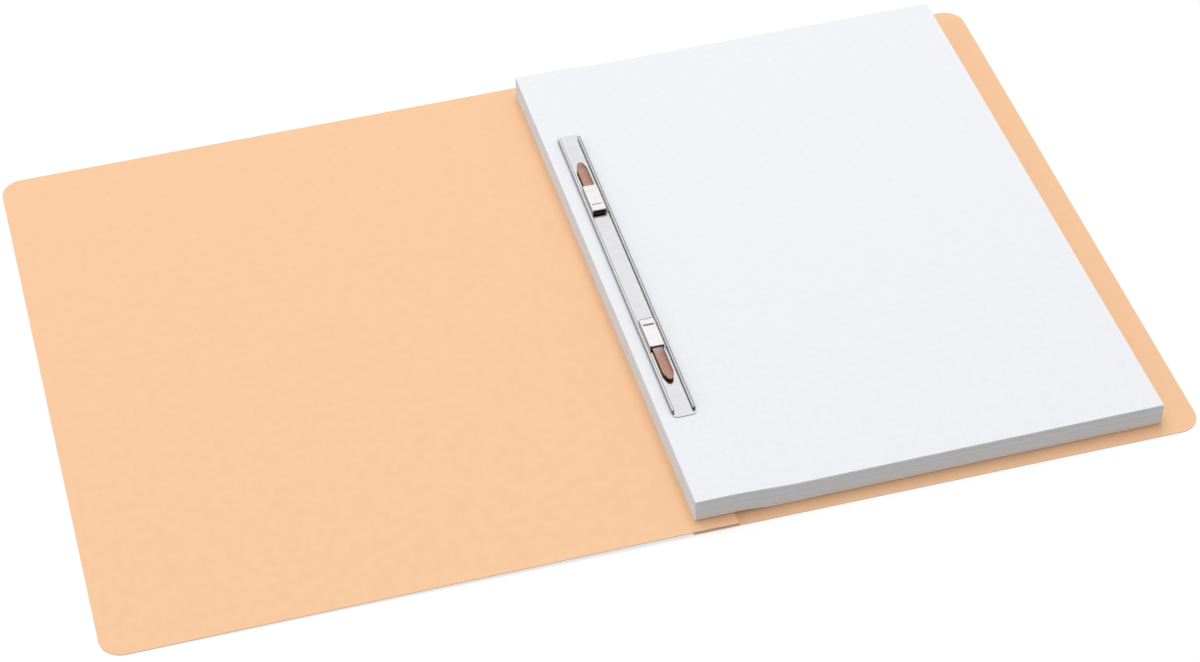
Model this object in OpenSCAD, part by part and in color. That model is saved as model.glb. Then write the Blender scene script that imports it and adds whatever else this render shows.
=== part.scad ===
// Fastener folder: a pleated card folder, open on a table, with a stack of sheets under a prong fastener.
// Lengths are in millimetres, +Z is up and +Y runs along the spine.
// The origin is on the table, midway between the two filing holes.

/* [Card] */
// Height of both covers, along the spine
cover_h = 309; // [302:1:330]
// Width of the back cover, from the crease to its free edge
back_w = 229; // [222:1:260]
// Width of the front cover, from the second fold to its free edge
front_w = 229; // [215:1:260]
// Width of the spine panel between the two folds
spine_w = 20; // [18:0.5:40]
// Thickness of the card
card_t = 0.4; // [0.3:0.05:0.6]
// Radius of the covers' free corners
corner_r = 10; // [4:0.5:20]
// Width of the filing flap, from the crease to the pleat's fold
flap_w = 20; // [18.5:0.5:24]
// Distance from the crease to the edge of the paper
crease_room = 1.5; // [1.4:0.1:3]
// Thickness of the adhesive film under the pleat
film_t = 0.1; // [0.05:0.05:0.2]

/* [Paper] */
// Width of a sheet
paper_w = 210; // [180:1:216]
// Height of a sheet
paper_h = 297; // [270:1:300]
// Thickness of a sheet
sheet_t = 0.1; // [0.08:0.01:0.13]
// Number of filed sheets
sheet_count = 112; // [40:1:120]
// Turn of the stack on its prongs, in degrees
paper_skew = 0.35; // [0:0.05:0.4]
// Distance from the sheet's edge to the line of holes
hole_margin = 11.5; // [11:0.1:13]
// Diameter of the punched holes
hole_d = 6; // [5.8:0.1:6.5]
// Distance between the two filing holes
hole_spacing = 80; // [70:1:90]
// Distance from the line of holes to where the sheets turn
turn_x = 12; // [9:0.5:30]

/* [Fastener] */
// Thickness of the prong strip
strip_t = 0.45; // [0.3:0.05:0.5]
// Width of the prongs
prong_w = 5; // [4:0.1:5.3]
// Width of the strip's base in the pleat
base_w = 8; // [6:0.1:8.4]
// Distance from the middle of the bar to the prongs' tips
prong_reach = 76; // [65:0.5:85]
// Clearance between the prongs' tips and the slides' tops
tip_clear = 0.2; // [0.1:0.05:1]
// Length of the compressor bar
bar_l = 196; // [180:1:220]
// Width of the compressor bar
bar_w = 11; // [10.8:0.1:13]
// Thickness of the bar's metal
bar_t = 0.4; // [0.3:0.05:0.45]
// Height of the bar's rims
rim_h = 2; // [1.9:0.05:2.6]
// Length of floor left bare at each end of the bar
rim_stop = 3; // [2:0.5:6]
// Length of the bar's slots round the prongs
slot_l = 5; // [4:0.5:8]
// Length of the slides
slide_l = 18; // [14:0.5:20]
// Width of the slides between their legs' outer faces
slide_w = 7; // [6.4:0.1:7.2]
// Thickness of the slides' metal
slide_t = 0.35; // [0.25:0.05:0.4]
// Height of the slides' tops above the rims
slide_proud = 0.6; // [0.3:0.05:1]
// Height of the slides' turned-up inner ends
end_lip_h = 0.3; // [0.1:0.05:0.6]
// Height of the slides' thumb nibs
nib_h = 0.25; // [0.15:0.05:0.6]
// Width of the slides' thumb nibs
nib_w = 4.4; // [3:0.1:5]
// Distance from the middle of the bar to the far slide's inner end
far_slide_y = 40; // [20:0.5:60]
// Distance from the middle of the bar to the near slide's inner end
near_slide_y = 36.5; // [20:0.5:60]

/* [Hidden] */
$fn = 48;

card_colour = "#FACDA3";
glue_colour = "#E8DCC0";
steel_colour = "#D9DBDD";
prong_colour = "#B98C7A";
paper_colour = "#F2F3F6";

// Clearance round the strip's base in the pleat
base_clear = 0.05;
// Clearance between pieces that slide or lie loose on each other
run_clear = 0.1;
// Clearance round the prongs in the flap's slits
slit_clear = 0.3;
// Room left in a fold beyond half the card's thickness
fold_room = 0.1;

// The pleat: back cover, film, return, strip base, flap
crease_x = -(hole_margin + crease_room);
return_z = card_t + film_t;
base_z = return_z + card_t;
base_gap = strip_t + base_clear;
flap_z = base_z + base_gap;
flap_top = flap_z + card_t;
left_fold_r = card_t + film_t / 2;
left_fold_x = crease_x + left_fold_r;
left_fold_z = return_z - film_t / 2;
right_fold_r = card_t + base_gap / 2;
right_fold_x = crease_x + flap_w - right_fold_r;
right_fold_z = base_z + base_gap / 2;
back_edge_x = crease_x + back_w;

// The opened cover slopes from the crease down to its free edge on the table
fold_half = card_t / 2 + fold_room;
crease_z = flap_z + card_t / 2;
cover_drop = asin((crease_z - card_t / 2) / (spine_w + front_w));

// Adhesive strips stop short of the ends, the folds and the strip's base
glue_inset = 6;
glue_edge = 0.4;
film_w = 14;

// The stack lies on the flap and sinks onto the back cover beside it
stack_t = sheet_count * sheet_t;
stack_top = flap_top + stack_t;
stack_drop = flap_top - card_t;
paper_left = -hole_margin;
paper_right = paper_w - hole_margin;
flap_edge_x = crease_x + flap_w;
sag_x = flap_edge_x + 0.8;
sag_l = 16;
slope_x = 2;
slope_l = 36;
slope_steps = 12;
leaf_gap = 0.4;
leaf_stagger = 0.5;
leaf_air = 0.02;
leaf_count = 3;

// The bar lies on the paper under the bent prongs
bar_z = stack_top;
bend_outer = 2 * bar_t;
shoulder_r = 1;
shoulder_x = bar_w / 2 - shoulder_r;
shoulder_z = rim_h - shoulder_r;
hem_in = 0.05;
hem_r = bar_t + hem_in;
foot_z = bar_t + run_clear;
foot_top = foot_z + slide_t;
lip_z = foot_top + run_clear;
slot_room = 4 * slit_clear;
slot_w = prong_w + slot_room;
tab_w = bar_w - 2 * bar_t;
tab_r = 2;

// The prongs rise at the holes and fold outwards over the bar's floor
prong_y = hole_spacing / 2;
low_bend = 0.5;
high_bend = 1;
tongue_z = bar_z + bar_t + run_clear;
tongue_flat = 4.5;
tip_start = prong_y + strip_t / 2 + high_bend + tongue_flat;
tip_lift = rim_h + slide_proud - slide_t - tip_clear - strip_t - bar_t - run_clear;
tip_angle = asin(tip_lift / (prong_reach - tip_start));
tip_r = 1.5;
taper_l = 5;
base_shoulder = 2;

// The slides run in the channel with their feet under the rims' lips
slide_top = rim_h + slide_proud;
slide_bend = 0.5;
foot_x = bar_w / 2 - bar_t - run_clear - bar_t;
nib_in = 4;
nib_run = 2;
nib_start = nib_in - nib_run;
nib_slit = 0.7;

// Height of the stack's upper face, falling in a smooth slope beside the bar
top_line = concat([[paper_left, stack_top]], [for (i = [0:slope_steps])
    [slope_x + slope_l * i / slope_steps, stack_top - stack_drop * (1 - cos(180 * i / slope_steps)) / 2]],
    [[paper_right, stack_top - stack_drop]]);

// Height of the stack's lower face, resting on the flap and then on the back cover
low_line = concat([[paper_left, flap_top]], [for (i = [0:slope_steps])
    [sag_x + sag_l * i / slope_steps, flap_top - stack_drop * (1 - cos(180 * i / slope_steps)) / 2]],
    [[paper_right, card_t]]);

// Points of the upper face from one x to another, lowered by whole sheets
function top_points(x0, x1, sheets) = [for (p = concat([[x0, lookup(x0, top_line)]],
    [for (q = top_line) if (q[0] > x0 && q[0] < x1) q], [[x1, lookup(x1, top_line)]]))
    [p[0], p[1] - sheets * sheet_t]];

function reversed(list) = [for (i = [len(list) - 1:-1:0]) list[i]];

// Where the leaf of a given number turns
function leaf_x(i) = turn_x + i * leaf_stagger;

// Draws a profile of X and Z along Y
module along_y(length) {
    rotate([90, 0, 0])
        linear_extrude(length, center = true)
            children();
}

// Draws a profile of Y and Z along X
module along_x(width) {
    rotate([90, 0, 90])
        linear_extrude(width, center = true)
            children();
}

// Quarter of a ring, in the quadrant to the right of and above the centre
module quarter_ring(inner, outer) {
    intersection() {
        difference() {
            circle(r = outer);
            circle(r = inner);
        }
        square(2 * outer);
    }
}

// Half of a ring, open to the left
module half_ring(inner, outer) {
    quarter_ring(inner, outer);
    mirror([0, 1])
        quarter_ring(inner, outer);
}

// Upright rectangle with its two upper corners rounded
module arch(width, height, radius) {
    translate([-width / 2, 0])
        square([width, height - radius]);
    translate([radius - width / 2, 0])
        square([width - 2 * radius, height]);
    for (side = [-1, 1])
        translate([side * (width / 2 - radius), height - radius])
            circle(r = radius);
}

// Flat card panel from x = start to a free edge at x = width, with that edge's corners rounded
module cover_panel(start, width) {
    linear_extrude(card_t) {
        translate([start, -cover_h / 2])
            square([width - start - corner_r, cover_h]);
        translate([start, corner_r - cover_h / 2])
            square([width - start, cover_h - 2 * corner_r]);
        for (side = [-1, 1])
            translate([width - corner_r, side * (cover_h / 2 - corner_r)])
                circle(r = corner_r);
    }
}

// Puts a panel that runs to +X from the crease where the opened cover lies
module opened() {
    translate([crease_x, 0, crease_z])
        rotate([0, -cover_drop, 0])
            translate([0, 0, -card_t / 2])
                mirror([1, 0, 0])
                    children();
}

// Turns the paper a little on its prongs
module on_prongs() {
    rotate([0, 0, paper_skew])
        children();
}

module back_cover() {
    color(card_colour)
        translate([left_fold_x, 0, 0])
            cover_panel(0, back_edge_x - left_fold_x);
}

module pleat_return() {
    color(card_colour)
        along_y(cover_h) {
            translate([left_fold_x, return_z])
                square([right_fold_x - left_fold_x, card_t]);
            translate([left_fold_x, left_fold_z])
                mirror([1, 0])
                    half_ring(film_t / 2, left_fold_r);
            translate([right_fold_x, right_fold_z])
                half_ring(base_gap / 2, right_fold_r);
        }
}

module filing_flap() {
    slit_w = prong_w + 2 * slit_clear;
    slit_l = strip_t + low_bend + 2 * slit_clear;
    slit_y = prong_y - strip_t / 2 - low_bend - slit_clear;
    color(card_colour)
        difference() {
            translate([crease_x + fold_half, -cover_h / 2, flap_z])
                cube([right_fold_x - crease_x - fold_half, cover_h, card_t]);
            for (end = [0, 1])
                mirror([0, end, 0])
                    translate([-slit_w / 2, slit_y, flap_z - card_t])
                        cube([slit_w, slit_l, 3 * card_t]);
        }
}

module spine_panel() {
    color(card_colour)
        opened()
            translate([fold_half, -cover_h / 2, 0])
                cube([spine_w - 2 * fold_half, cover_h, card_t]);
}

module front_cover() {
    color(card_colour)
        opened()
            cover_panel(spine_w + fold_half, spine_w + front_w);
}

module glue_lines() {
    length = cover_h - 2 * glue_inset;
    bead_left = crease_x + fold_half + glue_edge;
    bead_right = base_w / 2 + glue_edge;
    film_x = (left_fold_x + right_fold_x - film_w) / 2;
    color(glue_colour) {
        translate([film_x, -length / 2, card_t])
            cube([film_w, length, film_t]);
        translate([bead_left, -length / 2, base_z])
            cube([-base_w / 2 - glue_edge - bead_left, length, base_gap]);
        translate([bead_right, -length / 2, base_z])
            cube([right_fold_x - glue_edge - bead_right, length, base_gap]);
    }
}

// Side view of one prong: base, bend, leg, bend, tongue and lifted tip
module prong_profile() {
    leg_in = prong_y - strip_t / 2;
    leg_out = prong_y + strip_t / 2;
    low_y = leg_in - low_bend;
    low_z = base_z + strip_t + low_bend;
    high_y = leg_out + high_bend;
    high_z = tongue_z - high_bend;
    translate([0, base_z])
        square([low_y, strip_t]);
    translate([low_y, low_z])
        mirror([0, 1])
            quarter_ring(low_bend, low_bend + strip_t);
    translate([leg_in, low_z])
        square([strip_t, high_z - low_z]);
    translate([high_y, high_z])
        mirror([1, 0])
            quarter_ring(high_bend, high_bend + strip_t);
    translate([high_y, tongue_z])
        square([tip_start - high_y, strip_t]);
    translate([tip_start, tongue_z])
        rotate(tip_angle)
            square([prong_reach, strip_t]);
}

// Plan of one prong, tapering to a round nose
module prong_plan() {
    nose_y = prong_reach - tip_r;
    polygon([[-prong_w / 2, 0], [prong_w / 2, 0], [prong_w / 2, prong_reach - taper_l],
        [tip_r, nose_y], [-tip_r, nose_y], [-prong_w / 2, prong_reach - taper_l]]);
    translate([0, nose_y])
        circle(r = tip_r);
}

module prong_strip() {
    base_l = hole_spacing - strip_t - 2 * low_bend - 2 * base_shoulder;
    color(prong_colour) {
        for (end = [0, 1])
            mirror([0, end, 0])
                intersection() {
                    along_x(prong_w)
                        prong_profile();
                    linear_extrude(2 * tongue_z)
                        prong_plan();
                }
        translate([-base_w / 2, -base_l / 2, base_z])
            cube([base_w, base_l, strip_t]);
    }
}

// One side of the channel: half the floor, the bend, the wall, the rounded shoulder and its hemmed lip
module bar_half() {
    bend_x = bar_w / 2 - bend_outer;
    square([bend_x, bar_t]);
    translate([bend_x, bend_outer])
        mirror([0, 1])
            quarter_ring(bend_outer - bar_t, bend_outer);
    translate([bar_w / 2 - bar_t, bend_outer])
        square([bar_t, shoulder_z - bend_outer]);
    translate([shoulder_x, shoulder_z])
        quarter_ring(shoulder_r - bar_t, shoulder_r);
    translate([shoulder_x, rim_h - hem_r])
        mirror([1, 0])
            quarter_ring(hem_in, hem_r);
    translate([shoulder_x - hem_r, lip_z])
        square([bar_t, rim_h - hem_r - lip_z]);
}

module compressor_bar() {
    color(steel_colour)
        translate([0, 0, bar_z])
            difference() {
                union() {
                    along_y(bar_l - 2 * rim_stop) {
                        bar_half();
                        mirror([1, 0])
                            bar_half();
                    }
                    linear_extrude(bar_t) {
                        square([tab_w - 2 * tab_r, bar_l], center = true);
                        square([tab_w, bar_l - 2 * tab_r], center = true);
                        for (side = [-1, 1], end = [-1, 1])
                            translate([side * (tab_w / 2 - tab_r), end * (bar_l / 2 - tab_r)])
                                circle(r = tab_r);
                    }
                }
                for (end = [0, 1])
                    mirror([0, end, 0])
                        translate([-slot_w / 2, prong_y - strip_t / 2 - slot_room, -bar_t])
                            cube([slot_w, slot_l, 3 * bar_t]);
            }
}

// Side view of a nib pushed up out of the slide's top: a slope that ends in a steep face
module nib_profile() {
    polygon([[nib_start, slide_top - slide_t], [nib_start, slide_top], [nib_in, slide_top + nib_h],
        [nib_in, slide_top - slide_t]]);
}

// Side view of the room under a nib, with a slit in front of its steep face
module nib_room() {
    low = slide_top - 2 * slide_t;
    high = slide_top + nib_h;
    polygon([[nib_start, low], [nib_start, slide_top - slide_t], [nib_in, high - slide_t], [nib_in, high],
        [nib_in + nib_slit, high], [nib_in + nib_slit, low]]);
}

// A keeper with its inner end at y = 0, running towards +Y from there
module slide() {
    end_w = slide_w - 2 * slide_bend;
    translate([0, 0, bar_z])
        difference() {
            union() {
                translate([0, slide_l / 2, 0])
                    along_y(slide_l) {
                        translate([0, foot_z])
                            difference() {
                                arch(slide_w, slide_top - foot_z, slide_bend);
                                translate([0, -slide_t])
                                    arch(slide_w - 2 * slide_t, slide_top - foot_z, slide_bend - slide_t);
                            }
                        for (side = [0, 1])
                            mirror([side, 0])
                                translate([slide_w / 2 - slide_t, foot_z])
                                    square([foot_x - slide_w / 2 + slide_t, slide_t]);
                    }
                translate([-end_w / 2, 0, slide_top - slide_t])
                    cube([end_w, slide_t, slide_t + end_lip_h]);
                along_x(nib_w)
                    nib_profile();
            }
            along_x(nib_w - 2 * slide_t)
                nib_room();
        }
}

module far_slide() {
    color(steel_colour)
        translate([0, far_slide_y, 0])
            slide();
}

module near_slide() {
    color(steel_colour)
        mirror([0, 1, 0])
            translate([0, near_slide_y, 0])
                slide();
}

module paper_block() {
    steps = [for (i = [0:leaf_count]) top_points(i == 0 ? paper_left : leaf_x(i - 1),
        i == leaf_count ? paper_right : leaf_x(i), i)];
    upper = [for (s = steps) for (p = s) p];
    color(paper_colour)
        on_prongs()
            difference() {
                along_y(paper_h)
                    polygon(concat(low_line, reversed(upper)));
                for (end = [-1, 1])
                    translate([0, end * prong_y, 0])
                        cylinder(d = hole_d, h = 2 * stack_top);
            }
}

// One sheet that turns, counted from the top of the stack
module leaf(i) {
    start = leaf_x(i) + leaf_gap;
    color(paper_colour)
        on_prongs()
            along_y(paper_h)
                polygon(concat(top_points(start, paper_right, i + 1 - leaf_air / sheet_t),
                    reversed(top_points(start, paper_right, i))));
}

module top_sheet() {
    leaf(0);
}

module second_sheet() {
    leaf(1);
}

module third_sheet() {
    leaf(2);
}

back_cover();
pleat_return();
filing_flap();
spine_panel();
front_cover();
glue_lines();
prong_strip();
compressor_bar();
far_slide();
near_slide();
paper_block();
top_sheet();
second_sheet();
third_sheet();
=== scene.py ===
import math

import bmesh
import bpy
from mathutils import Matrix, Vector


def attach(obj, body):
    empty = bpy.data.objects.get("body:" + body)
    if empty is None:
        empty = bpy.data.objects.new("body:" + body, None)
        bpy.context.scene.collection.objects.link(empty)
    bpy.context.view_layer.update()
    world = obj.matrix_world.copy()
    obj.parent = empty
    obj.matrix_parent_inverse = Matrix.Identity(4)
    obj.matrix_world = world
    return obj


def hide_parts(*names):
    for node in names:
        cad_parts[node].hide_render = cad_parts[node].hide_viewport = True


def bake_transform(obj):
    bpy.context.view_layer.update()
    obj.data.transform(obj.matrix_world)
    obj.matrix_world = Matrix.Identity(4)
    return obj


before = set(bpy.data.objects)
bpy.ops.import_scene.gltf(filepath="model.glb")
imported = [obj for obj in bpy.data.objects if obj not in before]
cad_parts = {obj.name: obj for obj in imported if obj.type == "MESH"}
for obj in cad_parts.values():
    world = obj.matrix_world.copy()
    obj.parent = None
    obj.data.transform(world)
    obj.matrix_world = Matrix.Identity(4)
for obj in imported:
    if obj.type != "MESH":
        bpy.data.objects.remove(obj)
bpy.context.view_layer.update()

# Sizes are in millimetres unless a comment names another unit, and the frame is in metres
MM = 0.001

# Card
CARD_T = 0.4
COVER_H = 309.0
BACK_W = 229.0
FRONT_W = 229.0
SPINE_W = 20.0
FLAP_W = 20.0
CORNER_R = 10.0
CREASE_ROOM = 1.5
FILM_T = 0.1
CARD_EASE = 0.07

# Paper
PAPER_W = 210.0
PAPER_H = 297.0
SHEET_T = 0.085
SHEET_PITCH = 0.1
SHEETS = 112
HOLE_D = 6.0
HOLE_MARGIN = 11.5
HOLE_SPACING = 80.0

# Prong strip
STRIP_T = 0.45
BASE_CLEAR = 0.05
BASE_W = 8.0
BASE_SHOULDER = 2.0
PRONG_W = 5.0
PRONG_REACH = 76.0
LOW_BEND = 0.5
HIGH_BEND = 1.0
TONGUE_FLAT = 4.5
TAPER_L = 5.0
TIP_R = 1.5
TIP_CLEAR = 0.2

# Compressor bar
BAR_L = 196.0
BAR_W = 11.0
BAR_T = 0.4
RIM_H = 2.0
RIM_STOP = 3.0
SHOULDER_R = 1.0
HEM_R = 0.45
SLOT_L = 5.0
SLOT_ROOM = 1.2
TAB_R = 2.0

# Slides
SLIDE_L = 18.0
SLIDE_W = 7.0
SLIDE_T = 0.35
SLIDE_BEND = 0.5
SLIDE_PROUD = 0.6
RUN_CLEAR = 0.1
# Distance of each slide's inner end from the middle of the bar
FAR_SLIDE_IN = 40.0
NEAR_SLIDE_IN = 36.5

# The pleat from the table up: back cover, film, return, strip and flap
CREASE_X = -HOLE_MARGIN - CREASE_ROOM
BACK_EDGE_X = CREASE_X + BACK_W
RETURN_Z = CARD_T + FILM_T
STRIP_Z = RETURN_Z + CARD_T
FLAP_Z = STRIP_Z + STRIP_T + BASE_CLEAR
FLAP_TOP = FLAP_Z + CARD_T
LEFT_FOLD_R = (RETURN_Z + CARD_T) / 2
LEFT_FOLD = (CREASE_X + LEFT_FOLD_R, LEFT_FOLD_R)
RIGHT_FOLD_R = (FLAP_TOP - RETURN_Z) / 2
RIGHT_FOLD = (CREASE_X + FLAP_W - RIGHT_FOLD_R, FLAP_TOP - RIGHT_FOLD_R)

# The opened cover slopes from the crease down to its free edge on the table
CREASE_Z = FLAP_Z + CARD_T / 2
COVER_RUN = SPINE_W + FRONT_W
COVER_DROP = math.asin((CREASE_Z - CARD_T / 2) / COVER_RUN)

# The bar lies on the stack, and the heights in it are measured from its underside
PRONG_Y = HOLE_SPACING / 2
STACK_T = SHEETS * SHEET_PITCH
BAR_Z = FLAP_TOP + STACK_T
BAR_BEND = 2 * BAR_T
FOOT_Z = BAR_T + RUN_CLEAR
SLIDE_TOP = RIM_H + SLIDE_PROUD

# Angles between faces, in degrees: up to the first they are shaded smooth, and past the second are sharp
SMOOTH = 12
SHARP = 50

# Socket numbers of a Mix node that blends colours
MIX_SHARE = 0
MIX_FROM = 6
MIX_TO = 7
MIX_COLOUR = 2


def linear(hex_colour):
    """An sRGB hex colour as linear RGBA, by the sRGB transfer curve."""
    parts = [int(hex_colour[i:i + 2], 16) / 255 for i in (1, 3, 5)]
    return (*(c / 12.92 if c <= 0.04045 else ((c + 0.055) / 1.055) ** 2.4 for c in parts), 1.0)


def per_mm(size):
    """The texture scale at which one repeat is this many millimetres."""
    return 1 / (size * MM)


def add(tree, kind, settings=None, inputs=None, stops=()):
    """Adds a node with its settings, its inputs and a ramp's colour stops.

    An input is a value, a socket, a node (for its first output) or a list of nodes.
    """
    node = tree.nodes.new(kind)
    for name, value in (settings or {}).items():
        setattr(node, name, value)
    for socket, wanted in (inputs or {}).items():
        for source in wanted if isinstance(wanted, list) else [wanted]:
            if isinstance(source, bpy.types.Node):
                source = source.outputs[0]
            if isinstance(source, bpy.types.NodeSocket):
                tree.links.new(source, node.inputs[socket])
            else:
                node.inputs[socket].default_value = source
    for i, (position, colour) in enumerate(stops):
        node.color_ramp.elements[i].position = position
        node.color_ramp.elements[i].color = linear(colour)
    return node


def blank_material(name):
    """A material with an empty node tree."""
    material = bpy.data.materials.new(name)
    material.use_nodes = True
    material.node_tree.nodes.clear()
    return material, material.node_tree


# Materials

def folder_card():
    # Pulp-dyed folder card, machine finished: an even peach with the soft clouds of the pulp, pale fibres
    # that run along the sheet, a slight sheen, and cut edges that are paler and pinker than the faces.
    material, tree = blank_material("pulp_dyed_folder_card")
    place = add(tree, "ShaderNodeAttribute", {"attribute_name": "flat_place"}).outputs["Vector"]
    edge = add(tree, "ShaderNodeAttribute", {"attribute_name": "cut_edge_and_painted_shade"}).outputs["Fac"]
    clouds = add(tree, "ShaderNodeTexNoise",
                 inputs={"Vector": place, "Scale": per_mm(5), "Detail": 4, "Roughness": 0.6})
    # Fibres are about 1.5 mm long and finer than a pixel, so they are drawn longer and 0.5 mm wide
    along = add(tree, "ShaderNodeMapping",
                inputs={"Vector": place, "Scale": (per_mm(0.5), per_mm(2.2), per_mm(0.5))})
    fibres = add(tree, "ShaderNodeTexNoise",
                 inputs={"Vector": along, "Scale": 1.0, "Detail": 2, "Roughness": 0.5})
    body = add(tree, "ShaderNodeValToRGB", inputs={"Fac": clouds},
               stops=((0.3, "#F8C79B"), (0.7, "#FACBA1")))
    flecks = add(tree, "ShaderNodeValToRGB", inputs={"Fac": fibres},
                 stops=((0.6, "#000000"), (0.85, "#5A5A5A")))
    speckled = add(tree, "ShaderNodeMix", {"data_type": "RGBA"},
                   {MIX_SHARE: flecks, MIX_FROM: body, MIX_TO: linear("#FFDDBE")}).outputs[MIX_COLOUR]
    colour = add(tree, "ShaderNodeMix", {"data_type": "RGBA"},
                 {MIX_SHARE: edge, MIX_FROM: speckled, MIX_TO: linear("#F2CFB8")}).outputs[MIX_COLOUR]
    rough = add(tree, "ShaderNodeMapRange", inputs={"Value": fibres, "To Min": 0.58, "To Max": 0.8})
    grain = add(tree, "ShaderNodeTexNoise",
                inputs={"Vector": place, "Scale": per_mm(0.6), "Detail": 3, "Roughness": 0.6})
    bump = add(tree, "ShaderNodeBump", inputs={"Height": grain, "Strength": 0.35, "Distance": 0.03 * MM})
    shader = add(tree, "ShaderNodeBsdfPrincipled",
                 inputs={"Base Color": colour, "Roughness": rough, "Normal": bump, "Specular IOR Level": 0.7,
                         "IOR": 1.47})
    add(tree, "ShaderNodeOutputMaterial", inputs={"Surface": shader})
    return material


def copy_paper():
    # Uncoated office paper: a cool white, nearly even, with a faint cloudiness against the light, no gloss,
    # and guillotined edges a little greyer than the faces, each sheet a shade apart from the next.
    material, tree = blank_material("uncoated_office_paper")
    place = add(tree, "ShaderNodeAttribute", {"attribute_name": "flat_place"}).outputs["Vector"]
    edge = add(tree, "ShaderNodeAttribute", {"attribute_name": "cut_edge_and_painted_shade"}).outputs["Fac"]
    number = add(tree, "ShaderNodeAttribute", {"attribute_name": "sheet_no"}).outputs["Fac"]
    clouds = add(tree, "ShaderNodeTexNoise",
                 inputs={"Vector": place, "Scale": per_mm(2.5), "Detail": 3, "Roughness": 0.5})
    face = add(tree, "ShaderNodeValToRGB", inputs={"Fac": clouds},
               stops=((0.35, "#EFF0F4"), (0.65, "#F1F2F6")))
    shade = add(tree, "ShaderNodeTexWhiteNoise", {"noise_dimensions": "1D"}, {"W": number}).outputs["Value"]
    rim = add(tree, "ShaderNodeValToRGB", inputs={"Fac": shade},
              stops=((0.0, "#E0E3E3"), (1.0, "#F0F2F2")))
    colour = add(tree, "ShaderNodeMix", {"data_type": "RGBA"},
                 {MIX_SHARE: edge, MIX_FROM: face, MIX_TO: rim}).outputs[MIX_COLOUR]
    rough = add(tree, "ShaderNodeMapRange", inputs={"Value": clouds, "To Min": 0.82, "To Max": 0.95})
    tooth = add(tree, "ShaderNodeTexNoise", inputs={"Vector": place, "Scale": per_mm(0.4), "Detail": 2})
    bump = add(tree, "ShaderNodeBump", inputs={"Height": tooth, "Strength": 0.2, "Distance": 0.01 * MM})
    shader = add(tree, "ShaderNodeBsdfPrincipled",
                 inputs={"Base Color": colour, "Roughness": rough, "Normal": bump, "Specular IOR Level": 0.2,
                         "IOR": 1.5})
    add(tree, "ShaderNodeOutputMaterial", inputs={"Surface": shader})
    return material


def nickel_plate(name, dull, bright):
    # Nickel-plated steel strip, rolled and drawn to shape: bright nickel with cloudy rubs and fine draw
    # lines along its length that break up the highlights; the sides and the inside have dark grey painted
    # shade.
    material, tree = blank_material(name)
    place = add(tree, "ShaderNodeTexCoord").outputs["Object"]
    edge = add(tree, "ShaderNodeAttribute", {"attribute_name": "cut_edge_and_painted_shade"}).outputs["Fac"]
    along = add(tree, "ShaderNodeMapping",
                inputs={"Vector": place, "Scale": (per_mm(0.3), per_mm(30), per_mm(0.3))})
    draw = add(tree, "ShaderNodeTexNoise",
               inputs={"Vector": along, "Scale": 1.0, "Detail": 3, "Roughness": 0.6})
    rubs = add(tree, "ShaderNodeTexNoise", inputs={"Vector": place, "Scale": per_mm(4), "Detail": 2})
    face = add(tree, "ShaderNodeValToRGB", inputs={"Fac": rubs}, stops=((0.35, dull), (0.65, bright)))
    # Painted shade: faces that lean away from facing up are mixed towards dark grey by their marked share
    colour = add(tree, "ShaderNodeMix", {"data_type": "RGBA"},
                 {MIX_SHARE: edge, MIX_FROM: face, MIX_TO: linear("#727275")}).outputs[MIX_COLOUR]
    rough = add(tree, "ShaderNodeMapRange",
                inputs={"Value": draw, "From Min": 0.3, "From Max": 0.7, "To Min": 0.14, "To Max": 0.26})
    bump = add(tree, "ShaderNodeBump", inputs={"Height": draw, "Strength": 0.15, "Distance": 0.004 * MM})
    shader = add(tree, "ShaderNodeBsdfPrincipled",
                 inputs={"Base Color": colour, "Roughness": rough, "Normal": bump, "Metallic": 1.0})
    add(tree, "ShaderNodeOutputMaterial", inputs={"Surface": shader})
    return material


# Where the painted shade on the strip's legs ends, where its finishes start and end, measured from its
# middle, and how ragged the last change is
LEG_SHADE_END = 47.0
RUBBED_START = 52.0
RUBBED_END = 57.5
LACQUER_START = 60.5
RUBBED_RAGGED = 3.0


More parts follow.
